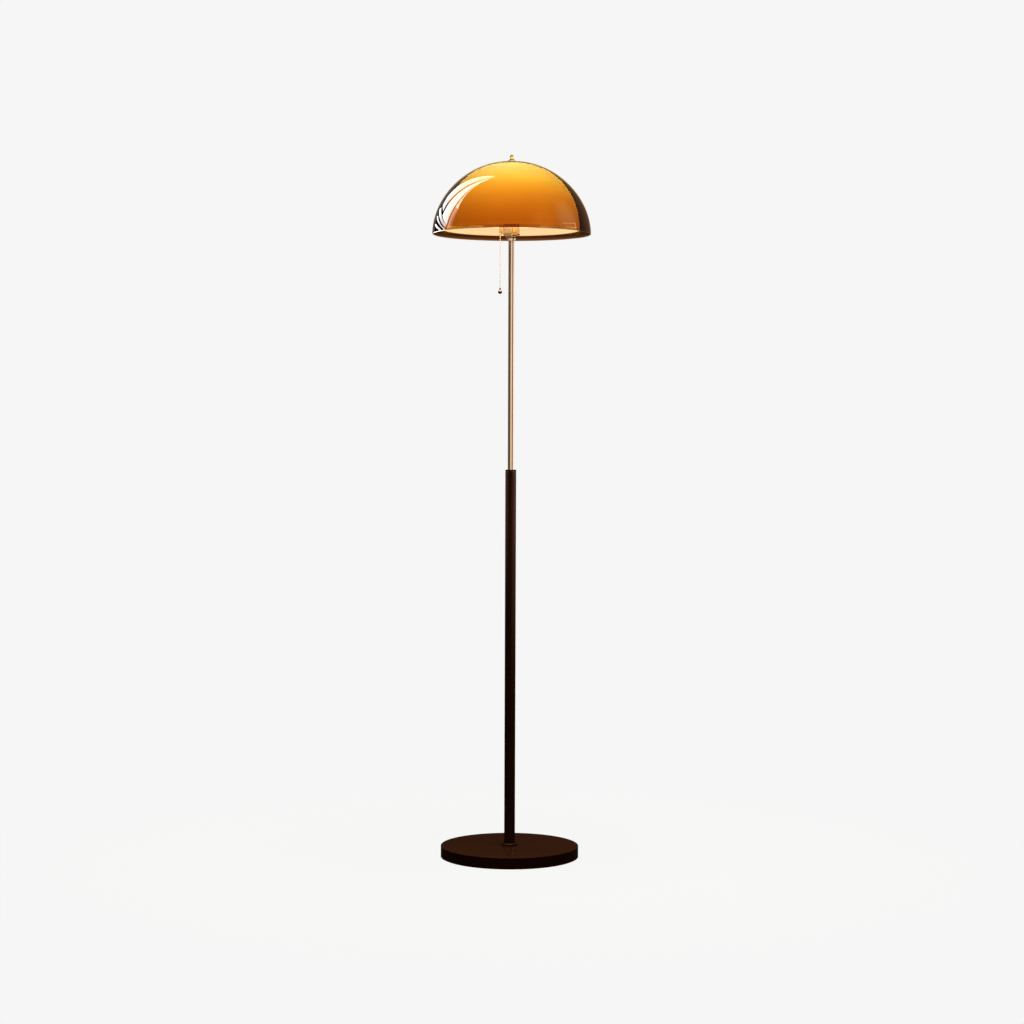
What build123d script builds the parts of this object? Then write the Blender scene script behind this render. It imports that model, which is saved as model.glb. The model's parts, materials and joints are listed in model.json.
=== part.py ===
from build123d import *
import math
import os

# Mushroom floor lamp: a smoked dome over an opal dome on a telescopic pole with a round foot.
# Millimetres, +Z up, origin at the centre of the underside of the base. The front faces -Y,
# the cord inlet is at the back (+Y) and the pull chain hangs on the left (-X).

# Fits
slip = 0.05  # round pieces pushed together by hand, on radius
running = 0.04  # the sliding tube in its bush, on radius
seat_gap = 0.3  # pieces that stop against each other
hole_gap = 0.2  # a threaded rod in a plain hole, on radius
past = 1.0  # how far a cutter runs past the face that it cuts

# Base
base_r = 153.0
base_top = 25.5
cover_wall = 1.8
cover_lift = 1.0  # lower edge of the cover above the floor
cover_edge_r = 0.8
pad_h = 3.0
pad_inset = 0.6
weight_gap = 0.3
relief_in = 20.0  # from the edge of the base
relief_hub_r = 44.0
relief_h = 8.0
hub_pocket_r = 15.0
hub_floor_h = 4.5  # iron left over the hub pocket
weight_edge = 1.0

# Lead and its inlet
lead_r = 2.8
lead_h = 8.0  # height of its centre line in the base
lead_bend_r = 8.0
channel_w = 10.0
channel_top = 15.0
inlet_h = 10.6
inlet_bore_r = 3.7
grommet_neck_r = 5.4
grommet_lip_r = 7.5
grommet_lip_h = 1.5
grommet_tail_r = 7.0
grommet_tail_h = 2.0
grommet_room = 9.0
grommet_tail_room = 1.0
clamp_in = 48.0  # from the edge of the base
clamp_w = 8.0
clamp_t = 1.2
clamp_reach = 10.0
clamp_land = 14.0  # length of the land that it is screwed to
clamp_room = 1.5
screw_r = 1.5
screw_head_r = 2.7
screw_head_h = 1.8
screw_grip = 6.0
screw_end_gap = 0.5
screw_gap = 0.25  # screw head beside the bend of the strap

# Threaded rods, nuts and washers
rod_r = 5.0
rod_bore_r = 3.5
nut_flats = 14.0
nut_h = 4.0
rod_proud = 1.0
washer_r = 11.0
washer_h = 1.2
base_rod_up = 36.0  # length of rod inside the tube plug
plug_h = 31.0
plug_bevel = 1.0

# Pole
collar_r = 17.5
collar_h = 5.0
collar_bevel = 0.8
lower_r = 12.0
lower_wall = 1.5
lower_l = 825.8
ferrule_h = 5.5
ferrule_round = 2.2
ferrule_groove = 0.6
ferrule_spigot = 18.0
ferrule_skin = 1.4
ferrule_gap = 0.4  # round the sliding tube, on radius
friction_l = 50.0
slits = 4
slit_w = 1.2
slit_stop = 6.0  # below the ferrule
upper_r = 7.0
guide_l = 20.0
guide_groove = 1.2
guide_land = 6.0
guide_tail = 5.0  # tube below the guide bush
upper_l = 581.3

# Lampholder
neck_r = 9.4
neck_foot_r = 7.8
neck_h = 8.0
neck_foot_h = 1.2
neck_band_h = 3.0
top_rod_down = 16.0
strap_t = 1.6
strap_w = 10.0
strap_eye_r = 9.0
strap_reach = 30.0  # saddle ends from the axis
strap_up = 7.1  # height of the shoulders under the ferrules
tab_w = 4.6
tab_h = 6.5
strap_bend = 2.4
harp_turn = 13.0  # degrees, saddle and harp about the pole
cup_r = 18.0
cup_wall = 0.8
cup_h = 62.0
cup_round = 5.0
cup_lip = 0.7
switch_h = 25.2
cup_fill_gap = 0.1
switch_pocket_r = 9.0
switch_pocket_h = 9.2
socket_floor = 1.4
insulator_drop = 1.0  # below the rim of the cup
insulator_round = 1.0
shell_r = 13.8
shell_wall = 0.4
shell_wave = 0.35
shell_waves = 6
shell_drop = 3.0  # below the rim of the cup
contact_r = 4.0
contact_h = 0.9
contact_rise = 1.0

# Bulb
thread_gap = 0.15
thread_depth = 0.8
bulb_threads = 5
bulb_cap_h = 26.0
cap_plain_h = 3.0
cap_cone_h = 1.5
bulb_tip_r = 5.0
bulb_tip_h = 2.0
bulb_r = 30.0
bulb_h = 83.0
bulb_neck_r = 12.6
bulb_neck_h = 4.0
bulb_wall = 1.0

# Harp
wire_r = 1.8
harp_ferrule_r = 3.6
harp_ferrule_wall = 0.9
harp_ferrule_h = 14.0
harp_ferrule_round = 0.6
harp_h = 149.9  # from the shoulders of the saddle to the seat of the diffuser
harp_straight = 16.0
harp_half_w = 52.0
harp_swell = 32.0  # height over which it swells to full width
harp_soft_r = 25.0
harp_crown_r = 40.0
boss_r = 6.0
boss_h = 6.0
stud_r = 3.0
stud_head_r = 4.8
stud_head_h = 1.5
stud_in_finial = 8.0

# Domes
crown_r = 10.0  # flat land round the stud
seat_r = 9.5
seat_h = 1.0
spacer_h = 1.0
outer_rim_r = 175.0
outer_h = 159.5
outer_wall = 2.5
outer_full = 1.9  # 2 is an ellipse, more is fuller
rim_gap = 25.0  # between the rims of the two domes, on radius
rim_rise = 9.5  # rim of the inner dome above the other
inner_wall = 2.5
inner_full = 2.1
lip = 0.6  # crown of the polished rims
outline_steps = 14

# Finial
finial_washer_h = 0.6
finial_foot_r = 9.9
finial_foot_h = 1.6
finial_neck_r = 4.0
finial_flare = 2.5
finial_knob_r = 5.2
finial_h = 14.4

# Pull chain
chain_bead_r = 1.2
chain_pitch = 3.2
chain_link_r = 0.45
first_bead_out = 0.7  # its centre below the mouth of the nozzle
nozzle_out = 7.0  # its centre line from the cup
nozzle_r = 2.5
nozzle_bore_r = 1.7
nozzle_mouth_r = 2.9
nozzle_h = 21.0
nozzle_rim_h = 0.5
nozzle_mouth_h = 2.0
nozzle_bevel = 1.0
nozzle_roof = 1.6
nozzle_drop = 17.0  # mouth below its side neck
nozzle_web = 3.6  # web between the nozzle and the cup
nozzle_neck_r = 2.4
nozzle_neck_bore_r = 1.1
nozzle_up = 21.0  # side neck above the bottom of the cup
nozzle_bite = 3.0
pull_beads = 5
ball_r = 4.5
ball_sleeve_r = 1.7
ball_sleeve_h = 4.0
chain_drop = 125.3  # from its first bead to the middle of the ball

# Heights that follow from these
weight_top = base_top - cover_wall
relief_r = base_r - relief_in
clamp_at = base_r - clamp_in
cover_bore_r = base_r - cover_wall
hub_ceiling = weight_top - hub_floor_h
washer_bottom = hub_ceiling - washer_h
nut_bottom = washer_bottom - nut_h
land_bottom = lead_h + lead_r + hole_gap
screw_out = lead_r + slip + clamp_t + screw_head_r + screw_gap
collar_top = base_top + collar_h
lower_bore_r = lower_r - lower_wall
lower_top = collar_top + lower_l
ferrule_top = lower_top + ferrule_h
friction_top = ferrule_top - ferrule_skin
friction_bottom = friction_top - friction_l
guide_top = friction_bottom - seat_gap
guide_bottom = guide_top - guide_l
upper_bottom = guide_bottom - guide_tail
upper_top = upper_bottom + upper_l
upper_bore_r = rod_r + slip
friction_r = lower_bore_r - slip - ferrule_skin
strap_bottom = upper_top + neck_h
cup_bottom = strap_bottom + strap_t
cup_floor = cup_bottom + cup_wall
fill_r = cup_r - cup_wall - cup_fill_gap
switch_top = cup_floor + switch_h
lead_end = cup_floor + switch_pocket_h
cup_top = cup_bottom + cup_h
contact_bottom = switch_top + socket_floor
bulb_bottom = contact_bottom + contact_h + contact_rise
cap_bottom = bulb_bottom + bulb_tip_h
glass_bottom = cap_bottom + bulb_cap_h
bulb_cap_r = shell_r - shell_wave - shell_wall - thread_gap
shoulder = cup_bottom + strap_up
wire_bottom = shoulder + tab_h
seat_bottom = shoulder + harp_h
wire_top = seat_bottom - boss_h / 2
inner_rim_r = outer_rim_r - rim_gap
inner_h = outer_h - outer_wall - spacer_h - rim_rise
inner_top = seat_bottom + seat_h + inner_wall
outer_top = inner_top + spacer_h + outer_wall
finial_bottom = outer_top + finial_washer_h
nozzle_z = cup_bottom + nozzle_up
mouth_z = nozzle_z - nozzle_drop
swing_z = mouth_z - first_bead_out
ball_z = swing_z - chain_drop
chain_out = cup_r + nozzle_out


def cylinder(radius, bottom, top):
    return Pos(0, 0, bottom) * Cylinder(radius, top - bottom, align=(Align.CENTER, Align.CENTER, Align.MIN))


def ring(radius, bore, bottom, top):
    return cylinder(radius, bottom, top) - cylinder(bore, bottom - past, top + past)


def turned(*edges):
    """Spins an outline of edges in the X-Z plane about the pole's axis."""
    return revolve(Plane.XZ * make_face(edges), Axis.Z)


def turned_points(*points):
    return turned(Polyline(*points, close=True))


def hexagon(flats, bore, bottom, top):
    blank = extrude(RegularPolygon(flats / 2, 6, major_radius=False), top - bottom)
    return Pos(0, 0, bottom) * blank - cylinder(bore, bottom - past, top + past)


def along_y(radius, near, far, height):
    """A round bar that runs along Y at a height above the floor."""
    return Pos(0, near, height) * Rot(-90, 0, 0) * Cylinder(
        radius, far - near, align=(Align.CENTER, Align.CENTER, Align.MIN)
    )


def block(width, near, far, bottom, top):
    return Pos(0, (near + far) / 2, (bottom + top) / 2) * Box(width, far - near, top - bottom)


# Base


def foot_pad():
    return cylinder(cover_bore_r - pad_inset, 0, pad_h)


def base_cover():
    shell = cylinder(base_r, cover_lift, base_top)
    shell = fillet(shell.edges().group_by(Axis.Z)[-1], cover_edge_r)
    shell -= cylinder(cover_bore_r, cover_lift - past, weight_top)
    shell -= cylinder(rod_r + hole_gap, weight_top - past, base_top + past)
    return shell - along_y(grommet_neck_r + slip, cover_bore_r - past, base_r + past, inlet_h)


def base_weight():
    radius = cover_bore_r - weight_gap
    iron = chamfer(cylinder(radius, pad_h, weight_top).edges().group_by(Axis.Z)[-1], weight_edge)
    iron -= ring(relief_r, relief_hub_r, pad_h - past, pad_h + relief_h)
    iron -= cylinder(hub_pocket_r, pad_h - past, hub_ceiling)
    iron -= cylinder(rod_r + hole_gap, hub_ceiling - past, weight_top + past)
    iron -= block(channel_w, 0, base_r, pad_h - past, channel_top)
    land_near = clamp_at - clamp_land / 2
    land_far = clamp_at + clamp_land / 2
    pocket_w = 2 * (clamp_reach + clamp_room)
    iron -= block(pocket_w, land_near - 2 * clamp_room, land_far + 2 * clamp_room, pad_h - past, channel_top)
    iron += block(pocket_w, land_near, land_far, land_bottom, channel_top)
    screw_hole = cylinder(screw_r, land_bottom - past, land_bottom - clamp_t + screw_grip + screw_end_gap)
    for side in (-1, 1):
        iron -= Pos(side * screw_out, clamp_at, 0) * screw_hole
    room = grommet_tail_r + grommet_tail_room
    return iron - block(2 * room, base_r - grommet_room, base_r, pad_h - past, inlet_h + room)


def cord_grommet():
    outer = along_y(grommet_lip_r, base_r, base_r + grommet_lip_h, inlet_h)
    outer = fillet(outer.edges().group_by(Axis.Y)[-1], grommet_lip_h / 2)
    tail_far = cover_bore_r - hole_gap
    neck = along_y(grommet_neck_r, tail_far, base_r, inlet_h)
    tail = along_y(grommet_tail_r, tail_far - grommet_tail_h, tail_far, inlet_h)
    lead_hole = along_y(inlet_bore_r, base_r - grommet_room, base_r + grommet_room, inlet_h)
    return outer + neck + tail - lead_hole


def cord_clamp():
    near, far = clamp_at - clamp_w / 2, clamp_at + clamp_w / 2
    inside = lead_r + slip
    strap = block(2 * clamp_reach, near, far, land_bottom - clamp_t, land_bottom)
    strap += along_y(inside + clamp_t, near, far, lead_h)
    strap -= block(4 * clamp_reach, near - past, far + past, land_bottom, land_bottom + 2 * lead_r)
    strap -= along_y(inside, near - past, far + past, lead_h)
    strap -= block(2 * inside, near - past, far + past, lead_h, land_bottom + past)
    screw_hole = cylinder(screw_r + hole_gap, land_bottom - clamp_t - past, land_bottom + past)
    for side in (-1, 1):
        strap -= Pos(side * screw_out, clamp_at, 0) * screw_hole
    return strap


def clamp_screws():
    seat = land_bottom - clamp_t
    screw = cylinder(screw_head_r, seat - screw_head_h, seat)
    screw = fillet(screw.edges().group_by(Axis.Z)[0], screw_head_h / 2)
    screw += cylinder(screw_r - slip, seat, seat + screw_grip)
    return [Pos(side * screw_out, clamp_at, 0) * screw for side in (-1, 1)]


def base_washer():
    return ring(washer_r, rod_r + hole_gap, washer_bottom, hub_ceiling)


def base_nut():
    return hexagon(nut_flats, rod_r + slip, nut_bottom, washer_bottom)


def base_nipple():
    return ring(rod_r, rod_bore_r, nut_bottom, collar_top + base_rod_up)


def base_collar():
    body = cylinder(collar_r, base_top, collar_top)
    body = chamfer(body.edges().group_by(Axis.Z)[-1], collar_bevel)
    return body - cylinder(rod_r + hole_gap, base_top - past, collar_top + past)


def base_lead():
    """From the clamp along the channel, round one bend and up through the nipple."""
    end = Vector(0, clamp_at + clamp_w, lead_h)
    low = Vector(0, lead_bend_r, lead_h)
    high = Vector(0, 0, lead_h + lead_bend_r)
    top = Vector(0, 0, collar_top + base_rod_up)
    bend = TangentArc(low, high, tangent=(0, -1, 0))
    path = Wire([Edge.make_line(end, low), bend, Edge.make_line(high, top)])
    return sweep(Plane(end, z_dir=(0, -1, 0)) * Circle(lead_r), path)


# Pole


def tube_plug():
    body = cylinder(lower_bore_r - slip, collar_top, collar_top + plug_h)
    body = chamfer(body.edges().group_by(Axis.Z)[-1], plug_bevel)
    return body - cylinder(rod_r + slip, collar_top - past, collar_top + plug_h + past)


def lower_tube():
    return ring(lower_r, lower_bore_r, collar_top, lower_top)


def tube_ferrule():
    head = cylinder(lower_r, lower_top + ferrule_groove, ferrule_top)
    head = fillet(head.edges().group_by(Axis.Z)[-1], ferrule_round)
    head += cylinder(lower_r - ferrule_groove, lower_top, lower_top + ferrule_groove)
    head += cylinder(lower_bore_r - slip, lower_top - ferrule_spigot, lower_top)
    head -= cylinder(friction_r + slip, lower_top - ferrule_spigot - past, friction_top)
    return head - cylinder(upper_r + ferrule_gap, friction_top - past, ferrule_top + past)


def friction_bush():
    """A slit nylon sleeve held by the ferrule, with a wider skirt in the tube below it."""
    spigot_end = lower_top - ferrule_spigot
    body = cylinder(friction_r, spigot_end, friction_top)
    body += cylinder(lower_bore_r - slip, friction_bottom, spigot_end)
    body -= cylinder(upper_r + running, friction_bottom - past, friction_top + past)
    slit = block(slit_w, upper_r - past, lower_r, friction_bottom - past, spigot_end - slit_stop)
    for i in range(slits):
        body -= Rot(0, 0, i * 360 / slits) * slit
    return body


def slack_lead():
    return cylinder(lead_r, collar_top + base_rod_up, upper_bottom)


def guide_bush():
    body = ring(lower_bore_r - running, upper_r + slip, guide_bottom, guide_top)
    groove = ring(lower_r, lower_bore_r - guide_groove, guide_bottom + guide_land, guide_top - guide_land)
    return body - groove


def upper_tube():
    return ring(upper_r, upper_bore_r, upper_bottom, upper_top)


def upper_lead():
    return cylinder(lead_r, upper_bottom, lead_end)


# Lampholder


def neck_nut():
    return turned_points(
        (rod_r + slip, upper_top),
        (neck_foot_r, upper_top),
        (neck_foot_r, upper_top + neck_foot_h),
        (neck_r, strap_bottom - neck_band_h),
        (neck_r, strap_bottom),
        (rod_r + slip, strap_bottom),
    )


def upper_nipple():
    return ring(rod_r, rod_bore_r, upper_top - top_rod_down, cup_floor + nut_h + rod_proud)


def cup_nut():
    return hexagon(nut_flats, rod_r + slip, cup_floor, cup_floor + nut_h)


def harp_saddle():
    """A strap with a round eye, its two ends turned up and narrowed to tabs."""
    outer, inner = strap_reach + strap_t / 2, strap_reach - strap_t / 2
    outline = Polyline(
        (-outer, shoulder), (-outer, strap_bottom), (outer, strap_bottom), (outer, shoulder),
        (inner, shoulder), (inner, cup_bottom), (-inner, cup_bottom), (-inner, shoulder), close=True,
    )
    profile = make_face(outline)
    profile = fillet(profile.vertices().group_by(Axis.Y)[0], strap_bend)
    strap = extrude(Plane.YZ * profile, strap_w / 2, both=True)
    for side in (-1, 1):
        strap += Pos(0, side * strap_reach, shoulder) * Box(tab_w, strap_t, 2 * tab_h)
    strap += cylinder(strap_eye_r, strap_bottom, cup_bottom)
    strap -= cylinder(rod_r + hole_gap, strap_bottom - past, cup_bottom + past)
    return Rot(0, 0, harp_turn) * strap


def harp_ferrules():
    sleeve = ring(harp_ferrule_r, harp_ferrule_r - harp_ferrule_wall, shoulder, shoulder + harp_ferrule_h)
    rim = sleeve.edges().group_by(Axis.Z)[-1].sort_by(SortBy.RADIUS)[-1:]
    sleeve = fillet(rim, harp_ferrule_round)
    return [Rot(0, 0, harp_turn) * Pos(0, side * strap_reach, 0) * sleeve for side in (-1, 1)]


def harp():
    """One wire from foot to foot, swelling round the bulb, brazed to a boss at the top."""
    soft = wire_bottom + harp_straight
    wide = soft + harp_swell
    path = Plane.YZ * FilletPolyline(
        (-strap_reach, wire_bottom),
        (-strap_reach, soft),
        (-harp_half_w, wide),
        (-harp_half_w, wire_top),
        (harp_half_w, wire_top),
        (harp_half_w, wide),
        (strap_reach, soft),
        (strap_reach, wire_bottom),
        radius=[harp_soft_r, harp_soft_r, harp_crown_r, harp_crown_r, harp_soft_r, harp_soft_r],
    )
    wire = sweep(Pos(0, -strap_reach, wire_bottom) * Circle(wire_r), path)
    boss = cylinder(boss_r, wire_top - boss_h / 2, wire_top + boss_h / 2)
    bow = wire + boss - cylinder(stud_r + slip, wire_top - boss_h, wire_top + boss_h)
    return Rot(0, 0, harp_turn) * bow


def harp_stud():
    under = seat_bottom - boss_h
    stud = cylinder(stud_r, under, finial_bottom + stud_in_finial)
    return stud + cylinder(stud_head_r, under - stud_head_h, under)


def socket_cup():
    outside = cylinder(cup_r, cup_bottom, cup_top)
    outside = fillet(outside.edges().group_by(Axis.Z)[0], cup_round)
    inside = cylinder(cup_r - cup_wall, cup_floor, cup_top + past)
    inside = fillet(inside.edges().group_by(Axis.Z)[0], cup_round - cup_wall)
    rim = ring(cup_r + cup_lip, cup_r - cup_wall, cup_top - 2 * cup_lip, cup_top)
    cup = outside - inside + rim - cylinder(rod_r + hole_gap, cup_bottom - past, cup_floor + past)
    return cup - side_neck(nozzle_neck_r + hole_gap)


def side_neck(radius):
    """A round bar from the nozzle's centre line into the switch body."""
    length = chain_out - fill_r + nozzle_bite
    bar = Cylinder(radius, length, align=(Align.CENTER, Align.CENTER, Align.MIN))
    return Pos(-chain_out, 0, nozzle_z) * Rot(0, 90, 0) * bar


def switch_body():
    body = cylinder(fill_r, cup_floor, switch_top)
    body = fillet(body.edges().group_by(Axis.Z)[0], cup_round - cup_wall)
    body -= cylinder(switch_pocket_r, cup_floor - past, lead_end)
    return body - side_neck(nozzle_neck_r + slip)


def socket_insulator():
    body = cylinder(fill_r, switch_top, cup_top - insulator_drop)
    body = fillet(body.edges().group_by(Axis.Z)[-1], insulator_round)
    return body - cylinder(shell_r + hole_gap, contact_bottom, cup_top)


def screw_shell():
    """A thin brass shell rolled into the rounded thread of the lampholder."""
    bottom, top = contact_bottom, cup_top - shell_drop
    step = (top - bottom) / shell_waves
    crest, root = shell_r, shell_r - shell_wave
    outline = []
    for inset in (0, shell_wall):
        for i in range(shell_waves):
            low, high = bottom + i * step, bottom + (i + 1) * step
            arc = ThreePointArc((root - inset, low), (crest - inset, (low + high) / 2), (root - inset, high))
            outline.append(arc)
    outline.append(Line((root, top), (root - shell_wall, top)))
    outline.append(Line((root - shell_wall, bottom), (root, bottom)))
    return turned(*outline)


def centre_contact():
    tongue = cylinder(contact_r, contact_bottom, contact_bottom + contact_h)
    return tongue + cylinder(contact_r / 2, contact_bottom + contact_h, bulb_bottom)


def chain_bell():
    """A nozzle with a flared mouth that points down, on a side neck through the cup."""
    top = mouth_z + nozzle_h
    body = turned_points(
        (0, mouth_z),
        (nozzle_mouth_r, mouth_z),
        (nozzle_mouth_r, mouth_z + nozzle_rim_h),
        (nozzle_r, mouth_z + nozzle_mouth_h),
        (nozzle_r, top - nozzle_bevel),
        (nozzle_r - nozzle_bevel, top),
        (0, top),
    )
    body = Pos(-chain_out, 0, 0) * body + side_neck(nozzle_neck_r)
    web_low, web_high = mouth_z + nozzle_mouth_h, top - nozzle_bevel
    web = Box(nozzle_out - seat_gap, nozzle_web, web_high - web_low)
    body += Pos(-chain_out + (nozzle_out - seat_gap) / 2, 0, (web_low + web_high) / 2) * web
    body -= Pos(-chain_out, 0, 0) * cylinder(nozzle_bore_r, mouth_z - past, top - nozzle_roof)
    return body - side_neck(nozzle_neck_bore_r)


# Bulb


def bulb_cap():
    body = cylinder(bulb_cap_r, cap_bottom + cap_cone_h, glass_bottom)
    body += turned_points(
        (0, cap_bottom),
        (bulb_tip_r, cap_bottom),
        (bulb_cap_r, cap_bottom + cap_cone_h),
        (0, cap_bottom + cap_cone_h),
    )
    body += cylinder(bulb_tip_r, bulb_bottom, cap_bottom)
    pitch = (bulb_cap_h - 2 * cap_plain_h) / bulb_threads
    for i in range(bulb_threads):
        low = cap_bottom + cap_plain_h + i * pitch
        body -= turned_points(
            (bulb_cap_r - thread_depth, low + pitch / 2),
            (bulb_cap_r + past, low),
            (bulb_cap_r + past, low + pitch),
        )
    return body


def bulb_glass():
    """A hollow ball on a short neck and a cone that runs into it."""
    return turned(*bulb_outline(0)) - turned(*bulb_outline(bulb_wall))


def bulb_outline(inset):
    neck, ball = bulb_neck_r - inset, bulb_r - inset
    centre = glass_bottom + bulb_h - bulb_r
    cone_bottom = glass_bottom + bulb_neck_h
    to_neck = Vector(neck, cone_bottom - centre)
    start = math.atan2(to_neck.Y, to_neck.X) + math.acos(ball / to_neck.length)
    touch = (ball * math.cos(start), centre + ball * math.sin(start))
    return [
        Line((0, glass_bottom), (neck, glass_bottom)),
        Line((neck, glass_bottom), (neck, cone_bottom)),
        Line((neck, cone_bottom), touch),
        CenterArc((0, centre), ball, math.degrees(start), 90 - math.degrees(start)),
        Line((0, centre + ball), (0, glass_bottom)),
    ]


# Domes and what holds them


def dome(rim_r, height, wall, full, bottom):
    """A shell of revolution with a flat crown and a polished, slightly rounded rim."""
    top, under = bottom + height, bottom + height - wall
    bore = stud_r + hole_gap
    return turned(
        dome_side(rim_r, bottom + lip, top, full),
        Line((crown_r, top), (bore, top)),
        Line((bore, top), (bore, under)),
        Line((bore, under), (crown_r, under)),
        dome_side(rim_r - wall, bottom + lip, under, full),
        ThreePointArc((rim_r - wall, bottom + lip), (rim_r - wall / 2, bottom), (rim_r, bottom + lip)),
    )


def dome_side(radius, low, high, full):
    """The curve of a filled-out ellipse, from the rim up to the crown."""
    points = []
    for i in range(outline_steps + 1):
        angle = math.pi / 2 * i / outline_steps
        out = max(math.cos(angle), 0) ** (2 / full)
        up = math.sin(angle) ** (2 / full)
        points.append((crown_r + (radius - crown_r) * out, low + (high - low) * up))
    return Spline(*points, tangents=[(0, 1), (-1, 0)])


def shade_seat():
    return ring(seat_r, stud_r + hole_gap, seat_bottom, seat_bottom + seat_h)


def inner_diffuser():
    return dome(inner_rim_r, inner_h, inner_wall, inner_full, inner_top - inner_h)


def dome_spacer():
    return ring(seat_r, stud_r + hole_gap, inner_top, inner_top + spacer_h)


def outer_dome():
    return dome(outer_rim_r, outer_h, outer_wall, outer_full, outer_top - outer_h)


def finial_washer():
    return ring(seat_r, stud_r + hole_gap, outer_top, finial_bottom)


def finial():
    """A flared foot, a hollow neck and a round knob."""
    low = finial_bottom
    knob_z = low + finial_h - finial_knob_r
    join = math.sqrt(finial_knob_r**2 - finial_neck_r**2)
    body = turned(
        Line((0, low), (finial_foot_r, low)),
        Line((finial_foot_r, low), (finial_foot_r, low + finial_foot_h)),
        ThreePointArc(
            (finial_foot_r, low + finial_foot_h),
            (finial_neck_r + finial_flare, low + finial_foot_h + finial_flare),
            (finial_neck_r, knob_z - join),
        ),
        ThreePointArc((finial_neck_r, knob_z - join), (finial_knob_r, knob_z), (0, knob_z + finial_knob_r)),
        Line((0, knob_z + finial_knob_r), (0, low)),
    )
    return body - cylinder(stud_r + slip, low - past, low + stud_in_finial + seat_gap)


# Pull chain


def beads(heights):
    """Beads at these heights, from the top down, on a thin link, as one turned solid."""
    dip = math.sqrt(chain_bead_r**2 - chain_link_r**2)
    top = (0, heights[0] + chain_bead_r)
    end = (0, heights[-1] - chain_bead_r)
    edges = [Line(end, top)]
    for i, z in enumerate(heights):
        low = end if z == heights[-1] else (chain_link_r, z - dip)
        edges.append(ThreePointArc(top, (chain_bead_r, z), low))
        if low != end:
            top = (chain_link_r, heights[i + 1] + dip)
            edges.append(Line(low, top))
    return Pos(-chain_out, 0, 0) * turned(*edges)


def pull_link():
    """The beads inside the nozzle, which the chain pulls down to work the switch."""
    lowest = swing_z + 2 * chain_bead_r + hole_gap
    return beads([lowest + i * chain_pitch for i in reversed(range(pull_beads))])


def pull_chain():
    length = chain_drop - ball_r - ball_sleeve_h - chain_bead_r
    gaps = round(length / chain_pitch)
    return beads([swing_z - length * i / gaps for i in range(gaps + 1)])


def chain_ball():
    ball = Pos(-chain_out, 0, ball_z) * Sphere(ball_r)
    sleeve = cylinder(ball_sleeve_r, ball_z, ball_z + ball_r + ball_sleeve_h)
    return ball + Pos(-chain_out, 0, 0) * sleeve


pieces = [
    foot_pad, base_cover, base_weight, cord_grommet, cord_clamp, clamp_screws, base_washer, base_nut,
    base_nipple, base_collar, base_lead, tube_plug, lower_tube, tube_ferrule, friction_bush, slack_lead,
    guide_bush, upper_tube, upper_lead, neck_nut, upper_nipple, cup_nut, harp_saddle, harp_ferrules, harp,
    harp_stud, socket_cup, switch_body, socket_insulator, screw_shell, centre_contact, chain_bell,
    bulb_cap, bulb_glass, shade_seat, inner_diffuser, dome_spacer, outer_dome, finial_washer, finial,
    pull_link, pull_chain, chain_ball,
]

os.makedirs("parts", exist_ok=True)
for make in pieces:
    made = make()
    solid = Compound(children=made) if isinstance(made, list) else made
    export_step(solid, f"parts/{make.__name__}.step")
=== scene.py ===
import json
import math

import bmesh
import bpy
from mathutils import Euler, Matrix, Vector


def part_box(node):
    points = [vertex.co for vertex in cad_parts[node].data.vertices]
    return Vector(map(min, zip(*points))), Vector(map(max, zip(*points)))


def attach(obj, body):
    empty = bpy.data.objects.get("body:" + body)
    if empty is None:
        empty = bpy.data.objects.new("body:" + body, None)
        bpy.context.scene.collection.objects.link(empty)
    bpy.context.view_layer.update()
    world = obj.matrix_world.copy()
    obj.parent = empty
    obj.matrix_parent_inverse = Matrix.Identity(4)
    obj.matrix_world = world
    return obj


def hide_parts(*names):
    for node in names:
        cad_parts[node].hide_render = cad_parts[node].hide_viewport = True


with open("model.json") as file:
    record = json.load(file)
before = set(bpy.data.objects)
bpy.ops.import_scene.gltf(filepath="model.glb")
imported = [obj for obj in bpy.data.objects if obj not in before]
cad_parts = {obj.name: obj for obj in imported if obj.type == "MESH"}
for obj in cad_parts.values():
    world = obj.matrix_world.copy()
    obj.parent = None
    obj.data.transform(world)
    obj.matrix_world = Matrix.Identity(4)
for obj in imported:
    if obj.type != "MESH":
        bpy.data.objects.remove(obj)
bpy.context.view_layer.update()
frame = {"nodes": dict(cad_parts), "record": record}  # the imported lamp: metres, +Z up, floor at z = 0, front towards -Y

scene = bpy.context.scene
millimetre = 0.001

# camera, at the photograph's angle
photoView = {
    "lens": 78.85,
    "sensor": 36,
    "clipEnd": 100,
    "distance": 4.967,
    "height": 0.9467,
    "downDegrees": 2.062,
    "rollDegrees": 0.199,
    "turnDegrees": -0.035,
}


def makeCamera(view):
    data = bpy.data.cameras.new("photoCamera")
    data.lens = view["lens"]
    data.sensor_width = view["sensor"]
    data.dof.use_dof = False
    data.clip_end = view["clipEnd"]
    camera = bpy.data.objects.new("photoCamera", data)
    scene.collection.objects.link(camera)
    look = Euler((math.radians(90 - view["downDegrees"]), 0, math.radians(view["turnDegrees"])))
    roll = Matrix.Rotation(math.radians(view["rollDegrees"]), 4, "Z")
    place = Matrix.Translation((0, -view["distance"], view["height"]))
    camera.matrix_world = place @ look.to_matrix().to_4x4() @ roll
    scene.camera = camera


makeCamera(photoView)
scene.view_settings.view_transform = "Standard"
scene.view_settings.look = "None"
scene.view_settings.exposure = 0
scene.view_settings.gamma = 1
scene.display_settings.display_device = "sRGB"
print("camera ready")


# a shader node with its input values and settings
def addNode(tree, kind, values=None, **settings):
    made = tree.nodes.new(kind)
    for key, value in settings.items():
        setattr(made, key, value)
    for key, value in (values or {}).items():
        made.inputs[key].default_value = value
    return made


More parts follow.
